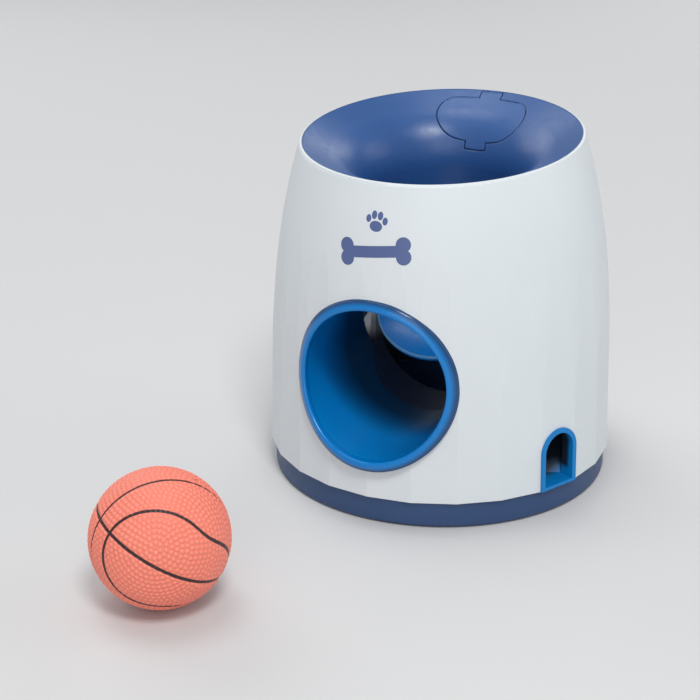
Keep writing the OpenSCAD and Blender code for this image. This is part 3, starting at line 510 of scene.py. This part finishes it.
# %% Walls of the lid's upper edge
LEAN = math.radians(31.82)
UP_FLARE = Vector((0, math.cos(LEAN), math.sin(LEAN)))
OFF_FLARE = Vector((0, -math.sin(LEAN), math.cos(LEAN)))
FLARE_EDGE = Vector((0, 65.21, 177.85)) * MM
LIP_END, UPRIGHT_LIMIT, UPPER_LIMIT = -14 * MM, 0.05, 0.42


def on_upper_edge(face):
    upright = abs(face.normal.dot(OFF_FLARE)) < UPRIGHT_LIMIT and face.normal.dot(UP_FLARE) > UPPER_LIMIT
    return upright and (face.center - FLARE_EDGE).dot(UP_FLARE) > LIP_END


lip = bpy.data.objects.new("lid_lip", nodes["lid"].data.copy())
lip.data.name = "lid_lip"
bpy.context.scene.collection.objects.link(lip)
pick(lip)
bpy.ops.object.mode_set(mode="EDIT")
bpy.ops.mesh.select_all(action="SELECT")
bpy.ops.mesh.remove_doubles(threshold=MERGE)
select_faces(lip, lambda face: not on_upper_edge(face))
bpy.ops.mesh.delete(type="FACE")
bpy.ops.object.mode_set(mode="OBJECT")
print("edge walls:", len(lip.data.polygons), "points:", len(lip.data.vertices))

# %% Turn the walls into a thin strip
LIP_WIDTH, LIP_SINK, LIP_THICK = 0.37 * MM, 0.07 * MM, 0.1 * MM
SAME_SPOT, WALL_LEAST = 0.1 * MM, 0.5 * MM


def along_flare(v):
    return v - v.dot(OFF_FLARE) * OFF_FLARE


corners = [(v.co.copy(), v.normal.copy()) for v in lip.data.vertices]
for vertex, (spot, outward) in zip(lip.data.vertices, corners):
    above = [other for other, _ in corners if along_flare(other - spot).length < SAME_SPOT]
    top = max(above, key=lambda c: c.dot(OFF_FLARE))
    reach = LIP_WIDTH if (top - spot).length > WALL_LEAST else 0
    vertex.co = top - LIP_SINK * OFF_FLARE + reach * along_flare(outward).normalized()
body = lip.modifiers.new("thick", "SOLIDIFY")
body.thickness, body.offset = LIP_THICK, 0
bpy.ops.object.modifier_apply(modifier=body.name)
bpy.ops.object.mode_set(mode="EDIT")
bpy.ops.mesh.select_all(action="SELECT")
bpy.ops.mesh.normals_make_consistent(inside=False)
bpy.ops.object.mode_set(mode="OBJECT")
bpy.ops.object.shade_flat()
lip.data.materials.clear()
# Painted light: the lip's navy is lighter than the lid's, so the strip sunk below the surface reads as lit.
lip.data.materials.append(moulded("lip_navy_painted_light", (60, 100, 158), 0.4, grain=0.05, mottle=0.03, edge=0))
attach(lip, "treat_lid")
print("lid lip:", len(lip.data.polygons), "faces")

# %% [markdown]
# ## The printed motif
# The housing has a small navy print above the ball exit. Here it is a plain bone under a paw. Each
# is a thin film on the curved housing: flat shapes are joined, cut into strips so that they can
# bend, pressed onto the housing with a Shrinkwrap modifier and given a film's thickness.

# %% Flat bone, from a bar and four round ends
PRINT_Y, PRINT_DEPTH, DISC_SIDES = -0.1, 4 * MM, 56
BONE_Z, BONE_HALF, LOBE_R, LOBE_OFF = 133.5 * MM, 14 * MM, 3.5 * MM, 2.8 * MM
BONE_BAR = 1.5 * LOBE_R


def upright_disc(x, z, r):
    bpy.ops.mesh.primitive_cylinder_add(
        vertices=DISC_SIDES, radius=r, depth=PRINT_DEPTH,
        location=(x, PRINT_Y, z), rotation=(math.radians(90), 0, 0),
    )
    return bpy.context.object


clear_selection()
lobes = [upright_disc(i * BONE_HALF, BONE_Z + j * LOBE_OFF, LOBE_R) for i in (-1, 1) for j in (-1, 1)]
bpy.ops.mesh.primitive_cube_add(size=1, location=(0, PRINT_Y, BONE_Z))
bone = made("printed_bone")
bone.scale = (2 * BONE_HALF, PRINT_DEPTH, BONE_BAR)
settle(bone)
for lobe in lobes:
    union = bone.modifiers.new("union", "BOOLEAN")
    union.operation, union.object, union.solver = "UNION", lobe, "EXACT"
    bpy.ops.object.modifier_apply(modifier=union.name)
    bpy.data.objects.remove(lobe)
print("bone:", len(bone.data.polygons), "faces")

# %% Flat paw, from one broad pad and four toes: each has its place and half its width and height
PAW_Z = 146.5 * MM
PAW_PARTS = [
    (0, -1.6, 3.1, 2.4),
    (-4.1, 1.3, 1.25, 1.75),
    (-1.5, 3.3, 1.3, 1.9),
    (1.5, 3.3, 1.3, 1.9),
    (4.1, 1.3, 1.25, 1.75),
]
clear_selection()
pads = []
for x, z, half_w, half_h in PAW_PARTS:
    pad = upright_disc(x * MM, PAW_Z + z * MM, MM)
    pad.scale = (half_w, half_h, 1)
    pads.append(pad)
pick(pads[0])
for pad in pads:
    pad.select_set(True)
bpy.ops.object.join()
paw = made("printed_paw")
settle(paw)
print("paw:", len(paw.data.polygons), "faces")

# %% Press each print onto the housing
STRIP, FILM, FRONT_LIMIT = 1.0 * MM, 0.06 * MM, -0.9
CUTS = ((0, -20 * MM, 20 * MM), (2, 120 * MM, 160 * MM))
BONE_TURN, PAW_TURN = math.radians(7), math.radians(-4)
print_ink = moulded("print_navy", (82, 98, 144), 0.42, grain=0.05, mottle=0.04, edge=0)


def cut_into_strips():
    """Cuts across X and across Z, one strip's width apart."""
    for axis, low, high in CUTS:
        normal = tuple(1.0 if i == axis else 0.0 for i in range(3))
        for k in range(int(round((high - low) / STRIP)) + 1):
            at = [0, PRINT_Y, 0]
            at[axis] = low + k * STRIP
            bpy.ops.mesh.select_all(action="SELECT")
            bpy.ops.mesh.bisect(plane_co=at, plane_no=normal)


def press_on_housing(film, turn):
    pick(film)
    select_faces(film, lambda face: face.normal.y > FRONT_LIMIT)
    bpy.ops.mesh.delete(type="FACE")
    bpy.ops.mesh.select_all(action="SELECT")
    middle = sum((v.co for v in film.data.vertices), Vector()) / len(film.data.vertices)
    bpy.ops.transform.rotate(value=turn, orient_axis="Y", center_override=(0, middle.y, middle.z))
    cut_into_strips()
    bpy.ops.object.mode_set(mode="OBJECT")
    wrap = film.modifiers.new("wrap", "SHRINKWRAP")
    wrap.target, wrap.wrap_method, wrap.use_project_y = nodes["outer_shell"], "PROJECT", True
    wrap.use_positive_direction, wrap.wrap_mode, wrap.offset = True, "ABOVE_SURFACE", FILM
    bpy.ops.object.modifier_apply(modifier=wrap.name)
    body = film.modifiers.new("film", "SOLIDIFY")
    body.thickness, body.offset = FILM, -1
    bpy.ops.object.modifier_apply(modifier=body.name)
    film.data.materials.clear()
    film.data.materials.append(print_ink)
    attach(film, "housing")
    print(film.name, "faces:", len(film.data.polygons))


press_on_housing(bone, BONE_TURN)
press_on_housing(paw, PAW_TURN)

# %% [markdown]
# ## The ball
# The loose ball is soft vinyl with round pebbles in rings and dark recessed lines: two rings that
# cross at right angles and two wavy loops. A UV sphere bunches its faces at the poles, so a finely
# subdivided cube is cast to a sphere. The relief is worked out as a vertex group and pushed out by
# a Displace modifier. The signed distance to each line is kept as an attribute, which the paint
# reads: it blends evenly across a line, so the painted lines stay crisp between the points.

# %% A sphere with even faces
ball_low, ball_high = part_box("ball")
BALL_CENTRE = (ball_low + ball_high) / 2
BALL_R = (ball_high.z - ball_low.z) / 2
BALL_CUTS = 125
PEBBLE_PITCH, PEBBLE_RISE, LINE_DEPTH = 2.3 * MM, 0.34 * MM, 0.34 * MM
clear_selection()
bpy.ops.mesh.primitive_cube_add(size=2 * BALL_R)
ball = made("play_ball")
bpy.ops.object.mode_set(mode="EDIT")
bpy.ops.mesh.subdivide(number_cuts=BALL_CUTS)
bpy.ops.object.mode_set(mode="OBJECT")
cast = ball.modifiers.new("round", "CAST")
cast.cast_type, cast.factor = "SPHERE", 1
cast.use_radius_as_size, cast.radius, cast.size = False, 0, BALL_R - PEBBLE_RISE - LINE_DEPTH
bpy.ops.object.modifier_apply(modifier=cast.name)
points = np.empty(len(ball.data.vertices) * 3)
ball.data.vertices.foreach_get("co", points)
rays = points.reshape(-1, 3)
print("ball points:", len(rays), "radius", round(float(np.linalg.norm(rays, axis=1).mean()), 5))
rays = rays / np.linalg.norm(rays, axis=1)[:, None]

# %% Signed distance from each point to each line, in millimetres
# From the ball's centre, the rings cross towards CROSSING. The loops share an axis with the first
# ring, and LOOP_WAVES is their mean angle from that axis and the waves in it, in degrees.
CROSSING = np.array((-0.568, -0.6381, 0.5198))
LOOP_AXIS = np.array((0.7026, -0.7048, -0.0975))
RING_AXIS = np.array((0.4286, 0.3099, 0.8487))
LOOP_WAVES = (53.9, 3.33, 12.36, -4.27, 1.03)
RING_SHIFT, TURN_STEP = 2.84, 0.01
along, across, over = rays @ CROSSING, rays @ LOOP_AXIS, rays @ RING_AXIS
turn = np.arctan2(over, along)
tilt = np.arccos(np.clip(np.abs(across), 0, 1))


def loop_at(t):
    """Angle between the loop's axis and the loop, at a turn round that axis."""
    return np.radians(sum(c * np.cos(k * t) for k, c in enumerate(LOOP_WAVES)) - np.sin(2 * t))


loop_tilt = loop_at(turn)
loop_lean = (loop_at(turn + TURN_STEP) - loop_at(turn - TURN_STEP)) / (2 * TURN_STEP) / np.sin(loop_tilt)
line_off = np.stack((
    np.arcsin(across) * BALL_R / MM - RING_SHIFT,
    np.arcsin(over) * BALL_R / MM,
    (tilt - loop_tilt) / np.sqrt(1 + loop_lean**2) * BALL_R / MM,
))
print("lines:", len(line_off))

# %% Half the width of each line: the loops swell on two of their sides
THIN_RING, BROAD_RING, THIN_LOOP, LOOP_SWELLS = 0.6, 0.78, 0.7, (0.2, 0.35)
swell_far, swell_low = np.clip(-np.cos(turn), 0, 1), np.clip(-np.sin(turn), 0, 1)
half_width = np.stack((
    np.full(len(rays), THIN_RING),
    np.full(len(rays), BROAD_RING),
    THIN_LOOP + LOOP_SWELLS[0] * swell_far + LOOP_SWELLS[1] * swell_low,
))
line_gap = (np.abs(line_off) - half_width).min(axis=0)
print("points on a line:", int((line_gap < 0).sum()))

# %% Pebbles in rings round one point, left out beside the lines
PEBBLE_AXIS = np.array((0.4645, -0.8166, 0.3427))
BARE_EDGE, PEBBLE_START, GROOVE_EDGE, GROOVE_SLOPE = 0.15, 0.5, 0.35, 0.7
side = np.cross(PEBBLE_AXIS, (0, 0, 1))
side /= np.linalg.norm(side)
polar = np.arccos(np.clip(rays @ PEBBLE_AXIS, -1, 1))
spin = np.arctan2(rays @ np.cross(PEBBLE_AXIS, side), rays @ side)
pitch_angle = PEBBLE_PITCH / BALL_R
ring = np.round(polar / pitch_angle)
count = np.maximum(1, np.round(2 * math.pi * np.sin(ring * pitch_angle) / pitch_angle))
step = 2 * math.pi / count
places = spin / step + 0.5 * (ring % 2)
gap_round = (places - np.round(places)) * step * np.sin(polar)
gap_out = polar - ring * pitch_angle
pebble = np.clip(1 - (gap_round**2 + gap_out**2) / (0.5 * pitch_angle) ** 2, 0, 1)
flank = np.clip((line_gap - BARE_EDGE) / PEBBLE_START, 0, 1)
ground = np.clip(GROOVE_EDGE + line_gap / GROOVE_SLOPE, 0, 1)
relief = LINE_DEPTH * ground + PEBBLE_RISE * pebble * flank
print("rings of pebbles:", int(ring.max()))

# %% Push the relief out and keep the distances, in half-widths, for the paint
group = ball.vertex_groups.new(name="relief")
strength = LINE_DEPTH + PEBBLE_RISE
for i, height in enumerate(relief):
    group.add([i], float(height / strength), "REPLACE")
press = ball.modifiers.new("relief", "DISPLACE")
press.vertex_group, press.strength, press.mid_level = group.name, strength, 0
bpy.ops.object.modifier_apply(modifier=press.name)
ball.vertex_groups.clear()
kept_off = ball.data.attributes.new("line_off", "FLOAT_VECTOR", "POINT")
kept_off.data.foreach_set("vector", (line_off / half_width).T.astype(np.float32).ravel())
bpy.ops.object.shade_smooth()
ball.location = BALL_CENTRE
settle(ball)
print("ball faces:", len(ball.data.polygons))

# %% Coral vinyl, and where the dark lines are painted
WEAR_SCALE, WEAR, PAINT_FULL, PAINT_END = 420, 0.4, 1.1, 1.28
vinyl = moulded("ball_coral", (247, 141, 119), 0.46, grain=0.1, mottle=0.04, edge=0)
tree = vinyl.node_tree
shader = tree.nodes["Principled BSDF"]
where = coordinates(tree).outputs["Object"]
off = tree.nodes.new("ShaderNodeAttribute")
off.attribute_name = "line_off"
lines = tree.nodes.new("ShaderNodeSeparateXYZ")
tree.links.new(off.outputs["Vector"], lines.inputs[0])
sides = [calc(tree, "ABSOLUTE", lines.outputs[axis]) for axis in "XYZ"]
nearest = calc(tree, "MINIMUM", calc(tree, "MINIMUM", sides[0], sides[1]), sides[2])
ragged = calc(tree, "MULTIPLY_ADD", noise(tree, where, WEAR_SCALE), WEAR, nearest)
paint = mapped(tree, ragged, PAINT_FULL, PAINT_END, 1, 0)
print("painted lines:", len(sides))

# %% [markdown]
# ### Sharper pebbles
# Each pebble is only about five faces wide, so its round top is soft. The same rings of pebbles are
# worked out again in the shader, once for every pixel: they sharpen the light with a Bump node and
# paint shade into the dips between the pebbles.

# %% The pebble rings as shader calculations
# Gaps are in pitches here, and a dome falls from 1 to 0 at half a pitch from its middle.
FULL_RING = 2 * math.pi / pitch_angle
DOME_FALL = -1 / 0.5**2
unit = vector_calc(tree, "NORMALIZE", vector_calc(tree, "SUBTRACT", where, BALL_CENTRE))
east, north = (
    vector_calc(tree, "DOT_PRODUCT", unit, axis) for axis in (side, np.cross(PEBBLE_AXIS, side))
)
pole_angle = calc(tree, "ARCCOSINE", vector_calc(tree, "DOT_PRODUCT", unit, PEBBLE_AXIS))
rows = calc(tree, "DIVIDE", pole_angle, pitch_angle)
row = calc(tree, "ROUND", rows)
row_gap = calc(tree, "SUBTRACT", rows, row)
row_round = calc(tree, "SINE", calc(tree, "MULTIPLY", row, pitch_angle))
in_row = calc(tree, "ROUND", calc(tree, "MULTIPLY", row_round, FULL_RING))
in_row = calc(tree, "MAXIMUM", in_row, 1)
bearing = calc(tree, "MULTIPLY", calc(tree, "ARCTAN2", north, east), 0.5 / math.pi)
shift = calc(tree, "MULTIPLY", calc(tree, "MODULO", row, 2), 0.5)
seat = calc(tree, "MULTIPLY_ADD", bearing, in_row, shift)
seat_gap = calc(tree, "SUBTRACT", seat, calc(tree, "ROUND", seat))
spacing = calc(tree, "MULTIPLY", calc(tree, "SINE", pole_angle), FULL_RING)
spacing = calc(tree, "DIVIDE", spacing, in_row)
side_gap = calc(tree, "MULTIPLY", seat_gap, spacing)
square = calc(tree, "MULTIPLY_ADD", row_gap, row_gap, calc(tree, "MULTIPLY", side_gap, side_gap))
dome = calc(tree, "MAXIMUM", calc(tree, "MULTIPLY_ADD", square, DOME_FALL, 1), 0)
print("pebbles in the widest row:", round(FULL_RING))

# %% Light from the pebbles' bump and painted shade in their dips, then the paint over both
PEBBLE_BUMP = 0.25 * MM
DIP_SHADE_CORAL, LINE_INK = (236, 116, 96), (52, 30, 32)
DIP_SHADE_LEAST = 0.4
raised = tree.nodes.new("ShaderNodeBump")
raised.inputs["Strength"].default_value = 1
raised.inputs["Distance"].default_value = PEBBLE_BUMP
tree.links.new(dome, raised.inputs["Height"])
grain = next(n for n in tree.nodes if n.type == "BUMP" and n != raised)
tree.links.new(raised.outputs["Normal"], grain.inputs["Normal"])
colour = shader.inputs["Base Color"]
# Painted shade: the coral darkens in the dips between the pebbles and stays full on their tops.
lit = calc(tree, "MULTIPLY_ADD", dome, 1 - DIP_SHADE_LEAST, DIP_SHADE_LEAST)
dip_shaded = mixed(tree, lit, (*linear(DIP_SHADE_CORAL), 1), colour.links[0].from_socket)
painted = mixed(tree, paint, dip_shaded, (*linear(LINE_INK), 1))
tree.links.new(painted, colour)
ball.data.materials.append(vinyl)
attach(ball, "play_ball")
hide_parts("ball")
print("ball dressed")
